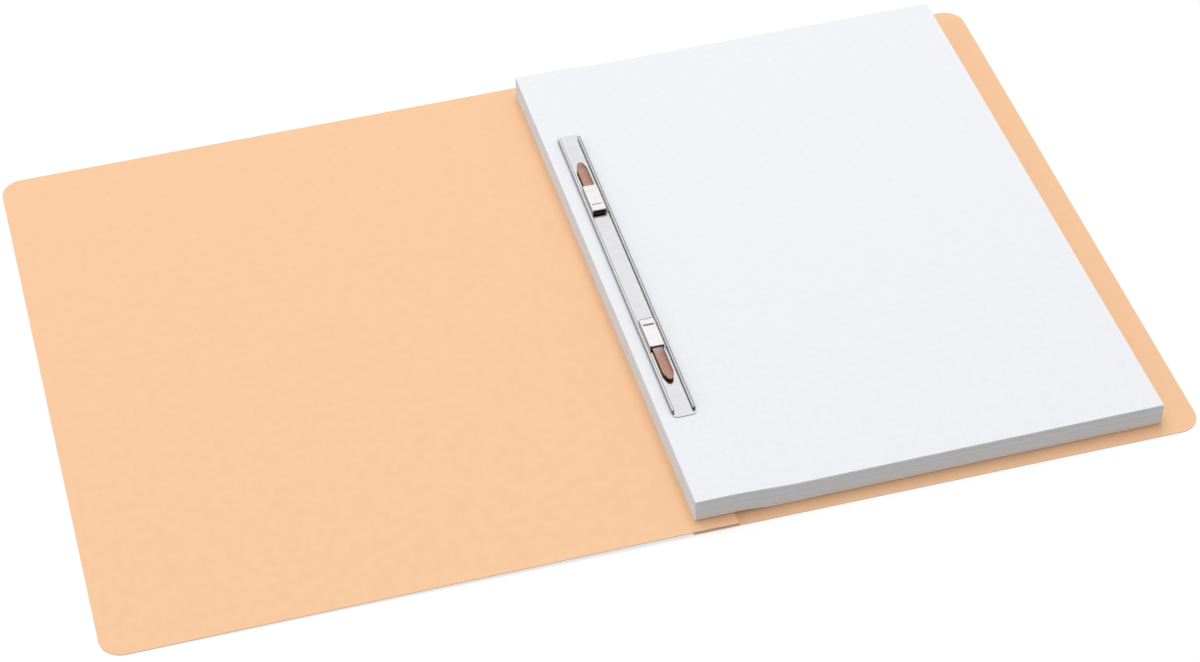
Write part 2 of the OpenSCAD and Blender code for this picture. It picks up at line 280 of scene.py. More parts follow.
def lacquered_strip():
    # Copper-brown lacquer on steel strip: satin metal with a brown-pink tint, worn back to bare grey steel
    # where the slides scrape over it, with painted shade in near-black brown on the legs, the sides and the
    # underside.
    material, tree = blank_material("copper_lacquered_steel_strip")
    place = add(tree, "ShaderNodeTexCoord").outputs["Object"]
    edge = add(tree, "ShaderNodeAttribute", {"attribute_name": "cut_edge_and_painted_shade"}).outputs["Fac"]
    parts = add(tree, "ShaderNodeSeparateXYZ", inputs={"Vector": place})
    reach = add(tree, "ShaderNodeMath", {"operation": "ABSOLUTE"}, {0: parts.outputs["Y"]})
    scuffs = add(tree, "ShaderNodeTexNoise", inputs={"Vector": place, "Scale": per_mm(1.6), "Detail": 3})
    ragged = add(tree, "ShaderNodeMath", {"operation": "MULTIPLY_ADD"},
                 {0: scuffs, 1: RUBBED_RAGGED * MM, 2: reach})
    lacquer = add(tree, "ShaderNodeMapRange",
                  inputs={"Value": ragged, "From Min": RUBBED_END * MM, "From Max": LACQUER_START * MM})
    tint = add(tree, "ShaderNodeValToRGB", inputs={"Fac": scuffs},
               stops=((0.35, "#B98D7C"), (0.65, "#C89B8B")))
    # Painted shade: the legs, down in the slots, take a near-black brown
    past_leg_shade = add(tree, "ShaderNodeMapRange",
              inputs={"Value": reach, "From Min": LEG_SHADE_END * MM, "From Max": RUBBED_START * MM})
    painted_leg_shade, bare = linear("#3E302A"), linear("#BDB6AF")
    leg_shade_and_rubbed = add(tree, "ShaderNodeMix", {"data_type": "RGBA"},
                 {MIX_SHARE: past_leg_shade, MIX_FROM: painted_leg_shade, MIX_TO: bare}).outputs[MIX_COLOUR]
    coat = add(tree, "ShaderNodeMix", {"data_type": "RGBA"},
               {MIX_SHARE: lacquer, MIX_FROM: leg_shade_and_rubbed, MIX_TO: tint}).outputs[MIX_COLOUR]
    # Painted shade: faces that lean away from facing up, the sides and the underside, are mixed towards
    # near-black brown
    colour = add(tree, "ShaderNodeMix", {"data_type": "RGBA"},
                 {MIX_SHARE: edge, MIX_FROM: coat, MIX_TO: linear("#2E2019")}).outputs[MIX_COLOUR]
    rough = add(tree, "ShaderNodeMapRange", inputs={"Value": scuffs, "To Min": 0.28, "To Max": 0.5})
    shader = add(tree, "ShaderNodeBsdfPrincipled",
                 inputs={"Base Color": colour, "Roughness": rough, "Metallic": 0.85})
    add(tree, "ShaderNodeOutputMaterial", inputs={"Surface": shader})
    return material


def set_adhesive():
    # Dried dispersion adhesive: a thin milky, slightly yellow film with a soft shine and small lumps.
    material, tree = blank_material("dried_dispersion_adhesive")
    place = add(tree, "ShaderNodeTexCoord").outputs["Object"]
    lumps = add(tree, "ShaderNodeTexNoise", inputs={"Vector": place, "Scale": per_mm(2), "Detail": 3})
    colour = add(tree, "ShaderNodeValToRGB", inputs={"Fac": lumps},
                 stops=((0.35, "#DDCFAF"), (0.65, "#EFE5CD")))
    rough = add(tree, "ShaderNodeMapRange", inputs={"Value": lumps, "To Min": 0.3, "To Max": 0.55})
    shader = add(tree, "ShaderNodeBsdfPrincipled",
                 inputs={"Base Color": colour, "Roughness": rough, "IOR": 1.48})
    add(tree, "ShaderNodeOutputMaterial", inputs={"Surface": shader})
    return material


# Meshes

def new_piece(name, skin, material, smooth=SMOOTH):
    """Turns a bmesh in millimetres into a piece at the origin, shaded smooth up to an angle in degrees."""
    mesh = bpy.data.meshes.new(name)
    bmesh.ops.scale(skin, vec=(MM, MM, MM), verts=skin.verts)
    skin.to_mesh(mesh)
    skin.free()
    return dress(name, mesh, material, smooth)


def dress(name, mesh, material, smooth):
    """A piece of a finished mesh, shaded smooth up to an angle in degrees and given its material."""
    piece = bpy.data.objects.new(name, mesh)
    bpy.context.scene.collection.objects.link(piece)
    mesh.materials.clear()
    mesh.materials.append(material)
    mesh.shade_smooth()
    mesh.set_sharp_from_angle(angle=math.radians(smooth))
    return piece


def mark_surface(piece, edge_and_shade_share):
    """Keeps each point's place at rest, and marks each face's share of the cut edge's colour, or on metal of
    painted shade.
    """
    mesh = piece.data
    place = mesh.attributes.new("flat_place", "FLOAT_VECTOR", "POINT")
    for vertex in mesh.vertices:
        place.data[vertex.index].vector = vertex.co
    cut = mesh.attributes.new("cut_edge_and_painted_shade", "FLOAT", "FACE")
    for face in mesh.polygons:
        cut.data[face.index].value = edge_and_shade_share(face)


def loft(rings):
    """A closed skin through rings of points, capped at both ends."""
    skin = bmesh.new()
    rows = [[skin.verts.new(p) for p in ring] for ring in rings]
    count = len(rows[0])
    for low, high in zip(rows, rows[1:]):
        for i in range(count):
            j = (i + 1) % count
            skin.faces.new((low[i], low[j], high[j], high[i]))
    skin.faces.new(rows[0][::-1])
    skin.faces.new(rows[-1])
    bmesh.ops.recalc_face_normals(skin, faces=skin.faces)
    return skin


def extruded(section, low, high):
    """A section of X and Z, drawn along Y."""
    return loft([[(x, y, z) for x, z in section] for y in (low, high)])


def with_mirror(right):
    """The outline of a section that is the same on both sides, from its right half."""
    return right + [(-x, z) for x, z in reversed(right[1:-1])]


def arc(centre, radius, start, end, steps):
    """Points of an arc, with its angles in degrees."""
    angles = [math.radians(start + (end - start) * i / steps) for i in range(steps + 1)]
    return [(centre[0] + radius * math.cos(a), centre[1] + radius * math.sin(a)) for a in angles]


def spread(start, end, steps):
    """Evenly spaced values with both ends."""
    return [start + (end - start) * i / steps for i in range(steps + 1)]


def box_set(corners):
    """Boxes between pairs of corners."""
    boxes = bmesh.new()
    for low, high in corners:
        for vertex in bmesh.ops.create_cube(boxes, size=1.0)["verts"]:
            vertex.co = [low[i] + (high[i] - low[i]) * (vertex.co[i] + 0.5) for i in range(3)]
    return boxes


def soften(skin, wanted):
    """Rounds the sharp edges of card that are wanted."""
    edges = [e for e in skin.edges if e.calc_face_angle(0) > math.radians(SHARP) and wanted(e)]
    bmesh.ops.bevel(skin, geom=edges, offset=CARD_EASE, offset_type="OFFSET", segments=2, profile=0.6,
                    affect="EDGES", clamp_overlap=True)


def settle(piece):
    """Turns a piece with modifiers into a plain mesh."""
    graph = bpy.context.evaluated_depsgraph_get()
    mesh = bpy.data.meshes.new_from_object(piece.evaluated_get(graph), depsgraph=graph)
    piece.modifiers.clear()
    piece.data = mesh
    mesh.name = piece.name


def carve(piece, tool, how):
    """Joins a tool to a piece, or cuts it out, and removes the tool."""
    step = piece.modifiers.new("carve", "BOOLEAN")
    step.operation = how
    step.solver = "EXACT"
    step.object = tool
    settle(piece)
    bpy.data.objects.remove(tool)


# Card

# Half the length of card that bends at the crease, and at the second fold
CREASE_HALF = 0.3
FOLD_HALF = 1.2
# Where the card of the spine ends and that of the front cover begins, measured from the crease
SEAM_U = 18.0
# Slits in the flap for the prongs
SLIT_CLEAR = 0.3
SLIT_Y = 39.8
SLIT_HALF = 0.8
# A face is a cut end where its normal's Y is over the first, and a cut rim where its Z is under the second
END_LEAN = 0.4
RIM_LEAN = 0.9
# Steps in a round fold, in its tight inside and in a cover's corner
FOLD_STEPS = 18
TIGHT_STEPS = 10
CORNER_STEPS = 14
# Columns across the bends of the crease and of the second fold
CREASE_COLUMNS = 16
FOLD_COLUMNS = 24
# Columns along the flat of each panel, and the room left between the last one and a cover's corners
BACK_COLUMNS = [60, 130]
SPINE_COLUMNS = [3, 8, 13]
FRONT_COLUMNS = [30, 90, 160]
CORNER_ROOM = 1.0
# Edges this close to the fold or the seam where a cover begins stay sharp
FOLD_TOUCH = 0.0001
SEAM_TOUCH = 0.5


def panel(columns, edge, place):
    """Card as wide as its columns, with rounded corners at its free edge if it has one."""
    half = COVER_H / 2
    outline = [(u, half) for u in columns]
    if edge is not None:
        outline += arc((edge - CORNER_R, half - CORNER_R), CORNER_R, 90, 0, CORNER_STEPS)
    sides = ((-1, -CARD_T / 2), (1, -CARD_T / 2), (1, CARD_T / 2), (-1, CARD_T / 2))
    return loft([[place(u, side * y, w) for side, w in sides] for u, y in outline])


def laid(u, y, w):
    """A point of the back cover on the table: w through the card."""
    return (u, y, w + CARD_T / 2)


def opened(u, y, w):
    """A point of the opened cover: u from the crease, w through the card."""
    turn = COVER_DROP if u > 0 else 0.0
    x = CREASE_X - u * math.cos(turn) - w * math.sin(turn)
    z = CREASE_Z - u * math.sin(turn) + w * math.cos(turn)
    return (x, y, z)


def cut_ends(face):
    """Marks the ends of the card, which are cut and face along the spine."""
    return float(abs(face.normal.y) > END_LEAN)


def cut_rim(face):
    """Marks the whole rim of a cover, which is cut and faces sideways."""
    return float(abs(face.normal.z) < RIM_LEAN)


def make_back_cover(material):
    """The panel under the paper, from the pleat's left fold to its free edge."""
    fold_x = LEFT_FOLD[0]
    columns = [fold_x] + BACK_COLUMNS + [BACK_EDGE_X - CORNER_R - CORNER_ROOM]
    skin = panel(columns, BACK_EDGE_X, laid)
    soften(skin, lambda edge: any(abs(v.co.x - fold_x) > FOLD_TOUCH for v in edge.verts))
    back = new_piece("back_cover_card", skin, material)
    mark_surface(back, cut_rim)
    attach(back, "back")
    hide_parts("back_cover")


def make_pleat(material):
    """The middle layer of the pleat, with the round folds that lead to the back cover and to the flap."""
    section = arc(LEFT_FOLD, LEFT_FOLD_R, -90, -270, FOLD_STEPS)
    section += arc(RIGHT_FOLD, RIGHT_FOLD_R - CARD_T, -90, 90, FOLD_STEPS)
    section += arc(RIGHT_FOLD, RIGHT_FOLD_R, 90, -90, FOLD_STEPS)
    section += arc(LEFT_FOLD, LEFT_FOLD_R - CARD_T, 90, 270, TIGHT_STEPS)
    fold = new_piece("pleat_return_card", extruded(section, -COVER_H / 2, COVER_H / 2), material)
    mark_surface(fold, cut_ends)
    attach(fold, "back")
    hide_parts("pleat_return")


def make_flap(material):
    """The top layer of the pleat, with slits for the prongs."""
    left, right = CREASE_X + CREASE_HALF, RIGHT_FOLD[0]
    section = [(left, FLAP_Z), (right, FLAP_Z), (right, FLAP_TOP), (left, FLAP_TOP)]
    flap = new_piece("filing_flap_card", extruded(section, -COVER_H / 2, COVER_H / 2), material)
    slit_x = PRONG_W / 2 + SLIT_CLEAR
    slits = box_set([((-slit_x, side * SLIT_Y - SLIT_HALF, FLAP_Z - CARD_T),
                      (slit_x, side * SLIT_Y + SLIT_HALF, FLAP_TOP + CARD_T)) for side in (-1, 1)])
    carve(flap, new_piece("slit_cutters", slits, material), "DIFFERENCE")
    mark_surface(flap, cut_ends)
    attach(flap, "back")
    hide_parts("filing_flap")


def make_spine(material):
    """The panel of the spine, lying open beside the stack and bending at the crease."""
    columns = spread(-CREASE_HALF, CREASE_HALF, CREASE_COLUMNS) + SPINE_COLUMNS + [SEAM_U]
    spine = new_piece("spine_panel_card", panel(columns, None, opened), material)
    mark_surface(spine, cut_ends)
    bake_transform(spine)
    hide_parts("spine_panel")


def make_front_cover(material):
    """The panel that lies open on the left, with columns across the second fold."""
    bend = (SPINE_W - FOLD_HALF, SPINE_W + FOLD_HALF)
    columns = [SEAM_U] + spread(bend[0], bend[1], FOLD_COLUMNS) + FRONT_COLUMNS
    columns.append(COVER_RUN - CORNER_R - CORNER_ROOM)
    skin = panel(columns, COVER_RUN, opened)
    past_seam = opened(SEAM_U, 0, 0)[0] - SEAM_TOUCH
    soften(skin, lambda edge: any(v.co.x < past_seam for v in edge.verts))
    front = new_piece("front_cover_card", skin, material)
    mark_surface(front, cut_rim)
    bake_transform(front)
    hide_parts("front_cover")


# Paper

# The stack's turn on its prongs, in radians
PAPER_SKEW = math.radians(0.35)
# Each top leaf: its node, its body and where it turns, measured from the holes
LEAVES = (
    ("top_sheet", "top_leaf", 12.0),
    ("second_sheet", "second_leaf", 12.5),
    ("third_sheet", "third_leaf", 13.0),
)
# The lowest sheets are set back: up to this share of the stack's height, fading at this rate
SET_BACK_LEVEL = 0.055
SET_BACK_FADE = 60
HOLE_SIDES = 24
# Points of a sheet closer than this are joined
WELD = 0.002
# A face of paper is a cut edge where its normal's Z is under this, and angles over these degrees are sharp
PAPER_LEAN = 0.5
PAPER_SHARP = 40

# What the sheets are made by: lengths in metres, turns in radians, a share for the set-back, and counts
SHEET_INPUTS = {
    "Height": PAPER_H * MM,
    "Left": -HOLE_MARGIN * MM,
    "Right": (PAPER_W - HOLE_MARGIN) * MM,
    "Margin End": 4 * MM,
    "Bend End": 40 * MM,
    "Hole Radius": HOLE_D / 2 * MM,
    "Hole Reach": PRONG_Y * MM,
    "Pitch": SHEET_PITCH * MM,
    "Thickness": SHEET_T * MM,
    "Stack Base": FLAP_TOP * MM,
    "Stack Height": STACK_T * MM,
    "Drop": (FLAP_TOP - CARD_T) * MM,
    "Low Start": 7.8 * MM,
    "Low Length": 16 * MM,
    "Top Start": 2 * MM,
    "Top Length": 36 * MM,
    "Nudge": 0.12 * MM,
    "Twist": 0.0004,
    "Skew": PAPER_SKEW,
    "Set Back": 0.007,
    "Count": 1,
    "First": 0,
    "Bend Columns": 12,
    "Flat Columns": 1,
    "Seed": 7,
}
# A leaf lies straighter than the stack's sheets, and has more columns because it bends
LEAF_INPUTS = {"Nudge": 0.05 * MM, "Twist": 0.0001, "Bend Columns": 48, "Flat Columns": 12}


def between(tree, start, end):
    """Nodes for the width between two edges and for the place midway."""
    width = add(tree, "ShaderNodeMath", {"operation": "SUBTRACT"}, {0: end, 1: start})
    total = add(tree, "ShaderNodeMath", {"operation": "ADD"}, {0: start, 1: end})
    half = add(tree, "ShaderNodeMath", {"operation": "MULTIPLY"}, {0: total, 1: 0.5})
    return width, add(tree, "ShaderNodeCombineXYZ", inputs={"X": half})


def punched_sheet(tree, given):
    """Nodes for one flat sheet: a margin with two holes, columns that can bend, and the rest."""
    width, place = between(tree, given["Left"], given["Margin End"])
    rim = add(tree, "GeometryNodeCurvePrimitiveQuadrilateral",
              inputs={"Width": width, "Height": given["Height"]})
    outline = [add(tree, "GeometryNodeTransform", inputs={"Geometry": rim, "Translation": place})]
    for side in (-1, 1):
        hole = add(tree, "GeometryNodeCurvePrimitiveCircle",
                   inputs={"Resolution": HOLE_SIDES, "Radius": given["Hole Radius"]})
        reach = add(tree, "ShaderNodeMath", {"operation": "MULTIPLY"}, {0: given["Hole Reach"], 1: side})
        place = add(tree, "ShaderNodeCombineXYZ", inputs={"Y": reach})
        outline.append(add(tree, "GeometryNodeTransform", inputs={"Geometry": hole, "Translation": place}))
    curves = add(tree, "GeometryNodeJoinGeometry", inputs={0: outline})
    strips = [add(tree, "GeometryNodeFillCurve", {"mode": "TRIANGLES"}, {"Curve": curves})]
    for start, end, columns in (("Margin End", "Bend End", "Bend Columns"),
                                ("Bend End", "Right", "Flat Columns")):
        width, place = between(tree, given[start], given[end])
        lines = add(tree, "ShaderNodeMath", {"operation": "ADD"}, {0: given[columns], 1: 1})
        strip = add(tree, "GeometryNodeMeshGrid",
                    inputs={"Size X": width, "Size Y": given["Height"], "Vertices X": lines,
                            "Vertices Y": 2})
        strips.append(add(tree, "GeometryNodeTransform", inputs={"Geometry": strip, "Translation": place}))
    plan = add(tree, "GeometryNodeJoinGeometry", inputs={0: strips})
    plan = add(tree, "GeometryNodeMergeByDistance", inputs={"Geometry": plan, "Distance": WELD * MM})
    raised = add(tree, "GeometryNodeExtrudeMesh", {"mode": "FACES"},
                 {"Mesh": plan, "Individual": False, "Offset Scale": given["Thickness"]})
    under = add(tree, "GeometryNodeFlipFaces", inputs={"Mesh": plan})
    sheet = add(tree, "GeometryNodeJoinGeometry", inputs={0: [raised, under]})
    return add(tree, "GeometryNodeMergeByDistance", inputs={"Geometry": sheet, "Distance": WELD * MM})


def piled(tree, given, sheet):
    """Nodes that lay a sheet on each point of a pile, counted up from the flap, each a little off true."""
    first = add(tree, "ShaderNodeMath", {"operation": "MULTIPLY"}, {0: given["First"], 1: given["Pitch"]})
    start = add(tree, "ShaderNodeCombineXYZ", inputs={"Z": first})
    step = add(tree, "ShaderNodeCombineXYZ", inputs={"Z": given["Pitch"]})
    pile = add(tree, "GeometryNodeMeshLine", {"mode": "OFFSET"},
               {"Count": given["Count"], "Start Location": start, "Offset": step})
    index = add(tree, "GeometryNodeInputIndex")
    number = add(tree, "ShaderNodeMath", {"operation": "ADD"}, {0: index, 1: given["First"]})
    stack = add(tree, "GeometryNodeInstanceOnPoints", inputs={"Points": pile, "Instance": sheet})
    back = add(tree, "ShaderNodeMath", {"operation": "MULTIPLY"}, {0: given["Nudge"], 1: -1})
    least = add(tree, "ShaderNodeCombineXYZ", inputs={"X": back, "Y": back})
    most = add(tree, "ShaderNodeCombineXYZ", inputs={"X": given["Nudge"], "Y": given["Nudge"]})
    nudge = add(tree, "FunctionNodeRandomValue", {"data_type": "FLOAT_VECTOR"},
                {0: least, 1: most, "ID": number, "Seed": given["Seed"]}).outputs[0]
    stack = add(tree, "GeometryNodeTranslateInstances",
                inputs={"Instances": stack, "Translation": nudge, "Local Space": False})
    untwist = add(tree, "ShaderNodeMath", {"operation": "MULTIPLY"}, {0: given["Twist"], 1: -1})
    seed = add(tree, "ShaderNodeMath", {"operation": "ADD"}, {0: given["Seed"], 1: 1})
    twist = add(tree, "FunctionNodeRandomValue", {"data_type": "FLOAT"},
                {2: untwist, 3: given["Twist"], "ID": number, "Seed": seed}).outputs[1]
    spin = add(tree, "ShaderNodeCombineXYZ", inputs={"Z": twist})
    stack = add(tree, "GeometryNodeRotateInstances",
                inputs={"Instances": stack, "Rotation": spin, "Local Space": True})
    stack = add(tree, "GeometryNodeStoreNamedAttribute", {"data_type": "FLOAT", "domain": "INSTANCE"},
                {"Geometry": stack, "Name": "sheet_no", "Value": number})
    return add(tree, "GeometryNodeRealizeInstances", inputs={"Geometry": stack})


def sagged(tree, given, stack):
    """Nodes that let each sheet sag off the flap, sooner at the bottom of the stack and wider at the top."""
    place = add(tree, "GeometryNodeInputPosition")
    parts = add(tree, "ShaderNodeSeparateXYZ", inputs={0: place}).outputs
    level = add(tree, "ShaderNodeMath", {"operation": "DIVIDE"}, {0: parts["Z"], 1: given["Stack Height"]})
    falls = {}
    for end in ("Low", "Top"):
        start, length = given[end + " Start"], given[end + " Length"]
        past = add(tree, "ShaderNodeMath", {"operation": "SUBTRACT"}, {0: parts["X"], 1: start})
        share = add(tree, "ShaderNodeMath", {"operation": "DIVIDE", "use_clamp": True}, {0: past, 1: length})
        angle = add(tree, "ShaderNodeMath", {"operation": "MULTIPLY"}, {0: share, 1: math.pi})
        wave = add(tree, "ShaderNodeMath", {"operation": "COSINE"}, {0: angle})
        falls[end] = add(tree, "ShaderNodeMath", {"operation": "MULTIPLY_ADD"}, {0: wave, 1: -0.5, 2: 0.5})
    change = add(tree, "ShaderNodeMath", {"operation": "SUBTRACT"}, {0: falls["Top"], 1: falls["Low"]})
    fall = add(tree, "ShaderNodeMath", {"operation": "MULTIPLY_ADD"}, {0: change, 1: level, 2: falls["Low"]})
    drop = add(tree, "ShaderNodeMath", {"operation": "MULTIPLY"}, {0: fall, 1: given["Drop"]})
    height = add(tree, "ShaderNodeMath", {"operation": "SUBTRACT"}, {0: given["Stack Base"], 1: drop})
    # The ends of the lowest sheets are drawn in towards the middle
    depth = add(tree, "ShaderNodeMath", {"operation": "SUBTRACT"}, {0: SET_BACK_LEVEL, 1: level})
    lowest = add(tree, "ShaderNodeMath", {"operation": "MULTIPLY", "use_clamp": True},
                 {0: depth, 1: SET_BACK_FADE})
    reach = add(tree, "ShaderNodeMath", {"operation": "MULTIPLY"}, {0: parts["Y"], 1: lowest})
    inwards = add(tree, "ShaderNodeMath", {"operation": "MULTIPLY"}, {0: given["Set Back"], 1: -1})
    inwards = add(tree, "ShaderNodeMath", {"operation": "MULTIPLY"}, {0: reach, 1: inwards})
    shift = add(tree, "ShaderNodeCombineXYZ", inputs={"Y": inwards, "Z": height})
    return add(tree, "GeometryNodeSetPosition", inputs={"Geometry": stack, "Offset": shift})


def sheet_tree(paper):
    """Geometry Nodes that stack punched sheets, let them sag off the flap and skew them on the prongs."""
    tree = bpy.data.node_groups.new("filed_sheets", "GeometryNodeTree")
    for name, value in SHEET_INPUTS.items():
        kind = "NodeSocketInt" if isinstance(value, int) else "NodeSocketFloat"
        tree.interface.new_socket(name, in_out="INPUT", socket_type=kind)
    tree.interface.new_socket("Geometry", in_out="OUTPUT", socket_type="NodeSocketGeometry")
    given = add(tree, "NodeGroupInput").outputs
    stack = sagged(tree, given, piled(tree, given, punched_sheet(tree, given)))
    skew = add(tree, "ShaderNodeCombineXYZ", inputs={"Z": given["Skew"]})
    stack = add(tree, "GeometryNodeTransform", inputs={"Geometry": stack, "Rotation": skew})
    stack = add(tree, "GeometryNodeRealizeInstances", inputs={"Geometry": stack})
    stack = add(tree, "GeometryNodeSetMaterial", inputs={"Geometry": stack, "Material": paper})
    add(tree, "NodeGroupOutput", inputs={0: stack})
    return tree


def make_sheets(name, tree, material, changes):
    """A piece of filed sheets, made by the tree with some inputs changed, as a plain mesh."""
    sizes = {**SHEET_INPUTS, **changes}
    source = bpy.data.objects.new(name, bpy.data.meshes.new(name))
    bpy.context.scene.collection.objects.link(source)
    maker = source.modifiers.new("sheets", "NODES")
    maker.node_group = tree
    for item in tree.interface.items_tree:
        if item.in_out == "INPUT":
            maker[item.identifier] = sizes[item.name]
    settle(source)
    mesh = source.data
    bpy.data.objects.remove(source)
    piece = dress(name, mesh, material, PAPER_SHARP)
    mark_surface(piece, lambda face: float(abs(face.normal.z) < PAPER_LEAN))
    return piece


def make_paper(material):
    """The sheets that stay down, and the top leaves beside the bar as pieces of their own."""
    tree = sheet_tree(material)
    pile = make_sheets("filed_sheets", tree, material, {"Count": SHEETS - len(LEAVES)})
    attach(pile, "back")
    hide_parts("paper_block")
    for i, (node, body, turn_x) in enumerate(LEAVES):
        leaf = make_sheets(node + "_paper", tree, material, {"First": SHEETS - 1 - i, **LEAF_INPUTS})
        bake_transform(leaf)
        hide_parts(node)


# Fastener

METAL_EASE = 0.05
# Steps in the bar's bends, the outside and inside of its shoulders and hems, and its floor's corners
BEND_STEPS = 8
SHOULDER_STEPS = (14, 10)
HEM_STEPS = (10, 4)
TAB_STEPS = 9
# Steps in the outside and inside of the slides' bends, and round their turned-up end
SLIDE_STEPS = (8, 6)
LIP_STEPS = 6
# The most painted shade that a metal face takes as it leans away from facing up, the lean at which it begins
# and the span it grows over
PAINTED_SHADE_MOST = 0.78
PAINTED_SHADE_START = 0.97
PAINTED_SHADE_SPAN = 0.45
# The slides' turned-up inner end: its height, and its back from top to bottom
LIP_H = 0.3
LIP_BACK = ((0.35, 0.28), (0.4, 0.1), (0.55, 0.0), (0.55, -SLIDE_T))
# The thumb nib: how far its steep face is from the inner end, and the nib's run, height, half width, sloped
# ends and the depth to which it is sunk into the slide
NIB_IN = 4.0
NIB_RUN = 2.0
NIB_H = 0.25
NIB_HALF = 2.45
NIB_END = 0.3
NIB_SINK = 0.02
# The slit in front of the nib, and how far its cutter stands over the nib
NIB_SLIT = 0.7
NIB_SLIT_HALF = 2.4
NIB_OVER = 0.05
# Length of the slides' outer end whose faces get no painted shade
UNSHADED_END = 0.2
# The curve from a prong's straight sides to its round nose: distances from the tip and half widths
TIP_SHOULDER = ((3.8, 2.28), (2.6, 1.95))
TIP_HALF = 0.1
# The strip's eased edges, and the most of its half width that they take
STRIP_EASE = 0.1
STRIP_EASE_SHARE = 0.4
# Columns along the strip's base, along a prong's flat (back from where it starts to rise) and along its rise
BASE_MIDWAY = 20.0
FLAT_COLUMNS = (3.0, 1.0)
RISE_COLUMNS = 16
# Steps in the strip's two bends and round the nose of a prong
LOW_STEPS = 8
HIGH_STEPS = 10
TIP_STEPS = 10


def ease_edges(piece):
    """Rounds the sharp edges of metal and evens its shading."""
    step = piece.modifiers.new("ease", "BEVEL")
    step.width = METAL_EASE * MM
    step.segments = 2
    step.limit_method = "ANGLE"
    step.angle_limit = math.radians(SHARP)
    step.use_clamp_overlap = True
    settle(piece)
    piece.data.shade_smooth()
    even = piece.modifiers.new("even_normals", "WEIGHTED_NORMAL")
    even.weight = 100
    settle(piece)


def painted_shade_share(face):
    """A metal face's share of painted shade, which grows as it leans away from facing up."""
    return PAINTED_SHADE_MOST * min(max((PAINTED_SHADE_START - face.normal.z) / PAINTED_SHADE_SPAN, 0.0), 1.0)


def make_bar(material):
    """The channel on the paper: a slotted floor with bare round ends, and rounded rims with hemmed lips."""
    wall = BAR_W / 2
    bend = (wall - BAR_BEND, BAR_BEND)
    shoulder = (wall - SHOULDER_R, RIM_H - SHOULDER_R)
    hem = (wall - SHOULDER_R, RIM_H - HEM_R)
    lip_x = hem[0] - HEM_R
    lip_z = FOOT_Z + SLIDE_T + RUN_CLEAR
    right = [(0, 0)] + arc(bend, BAR_BEND, -90, 0, BEND_STEPS)
    right += arc(shoulder, SHOULDER_R, 0, 90, SHOULDER_STEPS[0])
    right += arc(hem, HEM_R, 90, 180, HEM_STEPS[0])[1:] + [(lip_x, lip_z), (lip_x + BAR_T, lip_z)]
    right += arc(hem, HEM_R - BAR_T, 180, 90, HEM_STEPS[1])
    right += arc(shoulder, SHOULDER_R - BAR_T, 90, 0, SHOULDER_STEPS[1])[1:]
    right += arc(bend, BAR_BEND - BAR_T, 0, -90, BEND_STEPS) + [(0, BAR_T)]
    section = [(x, z + BAR_Z) for x, z in with_mirror(right)]
    rim_end = BAR_L / 2 - RIM_STOP
    bar = new_piece("compressor_bar_metal", extruded(section, -rim_end, rim_end), material)

    tab_x, tab_y = wall - BAR_T - TAB_R, BAR_L / 2 - TAB_R
    tab = []
    for x, y, start in ((tab_x, tab_y, 0), (-tab_x, tab_y, 90), (-tab_x, -tab_y, 180), (tab_x, -tab_y, 270)):
        tab += arc((x, y), TAB_R, start, start + 90, TAB_STEPS)
    floor = loft([[(x, y, z) for x, y in tab] for z in (BAR_Z, BAR_Z + BAR_T)])
    carve(bar, new_piece("bar_floor", floor, material), "UNION")

    slot_x = (PRONG_W + SLOT_ROOM) / 2
    slot_y = PRONG_Y - STRIP_T / 2 - SLOT_ROOM
    slots = []
    for side in (-1, 1):
        low, high = sorted((side * slot_y, side * (slot_y + SLOT_L)))
        slots.append(((-slot_x, low, BAR_Z - BAR_T), (slot_x, high, BAR_Z + 2 * BAR_T)))
    carve(bar, new_piece("slot_cutters", box_set(slots), material), "DIFFERENCE")
    ease_edges(bar)
    # Faces that lean away from facing up are marked for painted shade
    mark_surface(bar, painted_shade_share)
    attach(bar, "back")
    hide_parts("compressor_bar")


